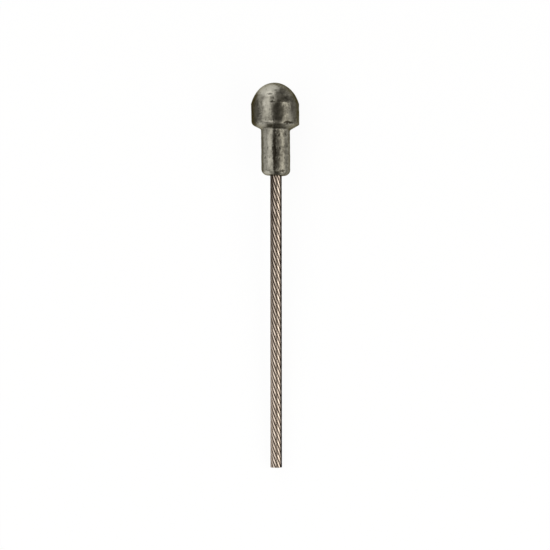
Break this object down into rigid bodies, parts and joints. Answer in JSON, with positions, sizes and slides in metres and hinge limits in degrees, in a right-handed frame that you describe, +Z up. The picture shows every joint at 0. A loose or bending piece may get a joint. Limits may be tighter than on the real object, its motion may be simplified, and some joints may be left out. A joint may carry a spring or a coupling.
{
  "type": "bicycle brake cable",
  "caption": "Lever end of a bicycle brake cable: a domed, stepped grey nipple die-cast on a left-hand-lay strand of bare steel wires, cut off square.",
  "frame": {"origin": "middle of the cable's footprint, on the surface that it lies on: the head's rim and the lowest corner of the cut end touch z = 0", "axes": "+Y along the cable towards the dome of the nipple, rising 3 degrees from the floor that way; +X across it; +Z up"},
  "size_m": [0.006, 0.0492, 0.0061],
  "materials": {
    "nipple_zinc": "satin",
    "wire_steel": "satin"
  },
  "bodies": {
    "root": {"nipple": "nipple_zinc", "core_wire": "wire_steel", "inner_wire_1": "wire_steel", "inner_wire_2": "wire_steel", "inner_wire_3": "wire_steel", "inner_wire_4": "wire_steel", "inner_wire_5": "wire_steel", "inner_wire_6": "wire_steel", "outer_wire_1": "wire_steel", "outer_wire_2": "wire_steel", "outer_wire_3": "wire_steel", "outer_wire_4": "wire_steel", "outer_wire_5": "wire_steel", "outer_wire_6": "wire_steel", "outer_wire_7": "wire_steel", "outer_wire_8": "wire_steel", "outer_wire_9": "wire_steel", "outer_wire_10": "wire_steel", "outer_wire_11": "wire_steel", "outer_wire_12": "wire_steel"}
  },
  "joints": []
}
